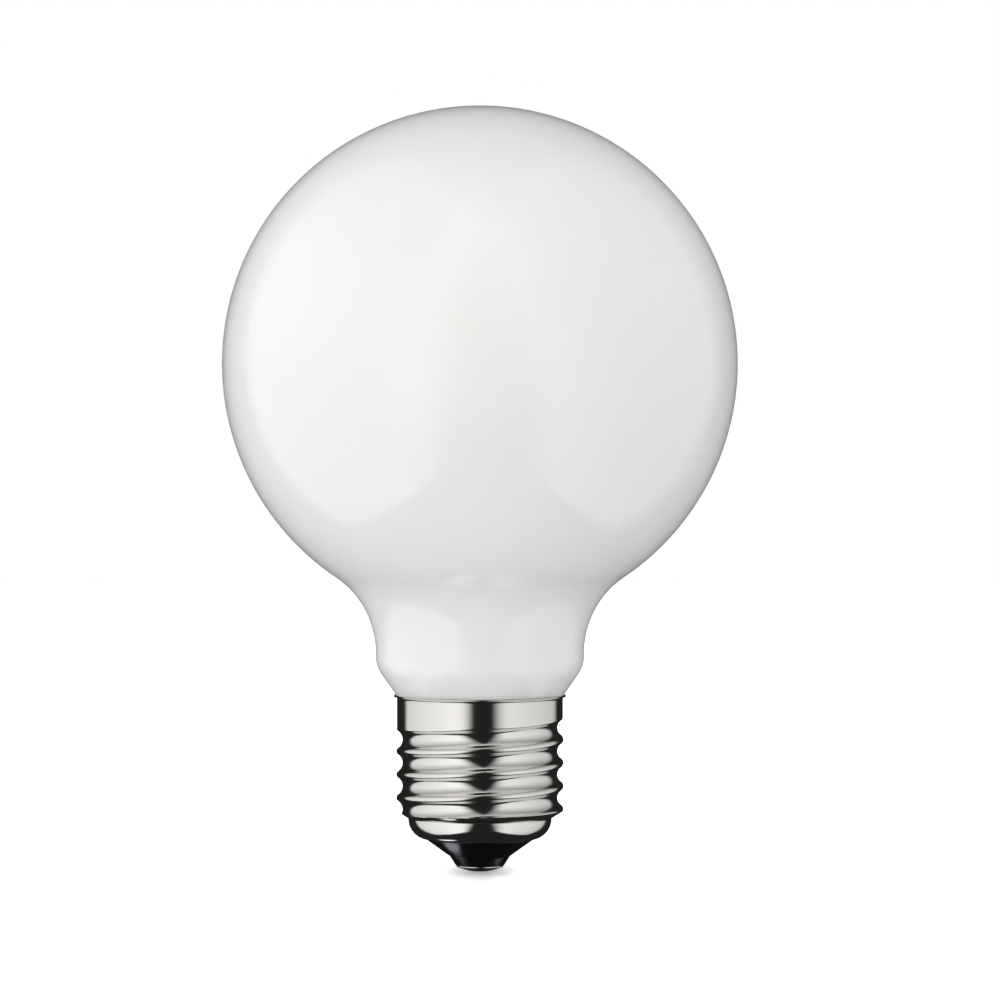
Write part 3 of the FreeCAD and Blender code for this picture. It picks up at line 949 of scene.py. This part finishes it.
def low_card(studio):
    """A small pale card just under the floor on the left. Only the cap's foot mirrors it."""
    long, wide = 6 * MM, 1.7 * MM
    corners = [(-long, -wide, 0), (long, -wide, 0), (long, wide, 0), (-long, wide, 0)]
    flat = card("low_card", corners, faded_card(studio.low_light, long, wide))
    flat.location = (-9.1 * MM, 3.8 * MM, -8 * MM)
    flat.rotation_euler.z = math.radians(-65)
    mirrored_only(flat)


def black_tent(reach):
    """A box of black felt round the set, which gives the bright metal its dark bands."""
    black, _, shader = new_material("black_felt")
    shader.inputs["Base Color"].default_value = (0, 0, 0, 1)
    shader.inputs["Specular IOR Level"].default_value = 0.0
    # Felt is never quite black: this is what a mirror sees of it.
    shader.inputs["Emission Color"].default_value = linear("#262525")
    shader.inputs["Emission Strength"].default_value = 1.0
    plan = square(reach)
    corners = [(*spot, -reach) for spot in plan] + [(*spot, reach) for spot in plan]
    for (x0, y0), (x1, y1) in zip(plan, plan[1:] + plan[:1]):
        corners += [(x0, y0, -reach), (x1, y1, -reach), (x1, y1, reach), (x0, y0, reach)]
    mirrored_only(card("black_tent", corners, black))


def photo_camera(studio):
    """The camera at the photograph's viewing angle, with the bulb at the photograph's place in the frame."""
    lens = bpy.data.cameras.new("photo_camera")
    lens.lens = lens.sensor_width * studio.camera_distance / (studio.pixel * IMAGE_PIXELS)
    lens.clip_start = 0.05
    lens.clip_end = 20
    camera = bpy.data.objects.new("photo_camera", lens)
    bpy.context.scene.collection.objects.link(camera)
    middle = IMAGE_PIXELS / 2
    right = (middle - studio.axis_pixel) * studio.pixel
    up = (studio.tip_pixel - middle) * studio.pixel
    aim = Vector((right, 0, CAD_BOX[0].z + up))
    look = Vector((0, math.cos(studio.camera_elevation), -math.sin(studio.camera_elevation)))
    camera.location = aim - look * studio.camera_distance
    camera.rotation_euler = look.to_track_quat("-Z", "Y").to_euler()
    return camera


class GLOBE_BULB_OT_studio(bpy.types.Operator):
    """Sets up the pale floor, the light scrims, the soft lamps, the black tent and the camera"""

    bl_idname = "globe_bulb.studio"
    bl_label = "Studio"

    def execute(self, context):
        scene = context.scene
        studio = scene.globe_bulb_studio
        scene.world = white_world(studio)
        scene.view_settings.view_transform = "Standard"
        floor = card("floor", [(*spot, 0) for spot in square(0.9)], pale_floor(studio))
        # What the bright metal mirrors from below is the dark under the set, so it doesn't see the floor.
        floor.visible_glossy = False
        light_scrim(
            "left_scrim",
            studio.left_light,
            azimuth=math.radians(-70),
            distance=0.55,
            inner=(0.45, 1.1),
            outer=(0.6, 0.95),
            lean=math.radians(12),
        )
        light_scrim(
            "right_scrim",
            studio.right_light,
            azimuth=math.radians(78),
            distance=0.6,
            inner=(0.44, 1.2),
            outer=(0.5, 1.0),
            lean=math.radians(12),
        )
        soft_lamp("front_lamp", studio.front_light, (-0.6, -1.4, 0.25))
        soft_lamp("top_lamp", studio.top_light, (0.0, -0.3, 1.5))
        soft_lamp("back_left_lamp", studio.back_left_light, (-1.1, 0.9, 0.1))
        soft_lamp("back_right_lamp", studio.back_right_light, (1.1, 0.9, 0.1))
        low_card(studio)
        black_tent(reach=2.5)
        scene.camera = photo_camera(studio)
        return {"FINISHED"}


class GLOBE_BULB_PT_sidebar(bpy.types.Panel):
    """Lists the bulb's pieces and settings"""

    bl_idname = "GLOBE_BULB_PT_sidebar"
    bl_label = "Globe bulb"
    bl_space_type = "VIEW_3D"
    bl_region_type = "UI"
    bl_category = "Globe bulb"

    def draw(self, context):
        for operator in OPERATORS:
            self.layout.operator(operator.bl_idname)
        for group in SETTINGS:
            box = self.layout.box()
            settings = getattr(context.scene, group)
            for name in settings.__annotations__:
                box.prop(settings, name)


SETTINGS = {
    "globe_bulb_glass": GlassSettings,
    "globe_bulb_cap": CapSettings,
    "globe_bulb_studio": StudioSettings,
}
OPERATORS = (
    GLOBE_BULB_OT_glass_envelope,
    GLOBE_BULB_OT_screw_shell,
    GLOBE_BULB_OT_capping_cement,
    GLOBE_BULB_OT_cap_insulator,
    GLOBE_BULB_OT_centre_contact,
    GLOBE_BULB_OT_studio,
)


def register():
    """Adds the settings, the operators and the panel to Blender."""
    for group, settings in SETTINGS.items():
        bpy.utils.register_class(settings)
        setattr(bpy.types.Scene, group, PointerProperty(type=settings))
    for part in (*OPERATORS, GLOBE_BULB_PT_sidebar):
        bpy.utils.register_class(part)


def unregister():
    """Takes them away again."""
    for part in (GLOBE_BULB_PT_sidebar, *reversed(OPERATORS)):
        bpy.utils.unregister_class(part)
    for group, settings in SETTINGS.items():
        delattr(bpy.types.Scene, group)
        bpy.utils.unregister_class(settings)


def main():
    """Builds the bulb piece by piece, then its studio."""
    register()
    bpy.ops.globe_bulb.glass_envelope()
    bpy.ops.globe_bulb.screw_shell()
    bpy.ops.globe_bulb.capping_cement()
    bpy.ops.globe_bulb.cap_insulator()
    bpy.ops.globe_bulb.centre_contact()
    bpy.ops.globe_bulb.studio()
    boxes = {"cad": CAD_BOX, "visual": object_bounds()}
    boxes = {name: [list(corner) for corner in box] for name, box in boxes.items()}


if __name__ == "__main__":
    main()
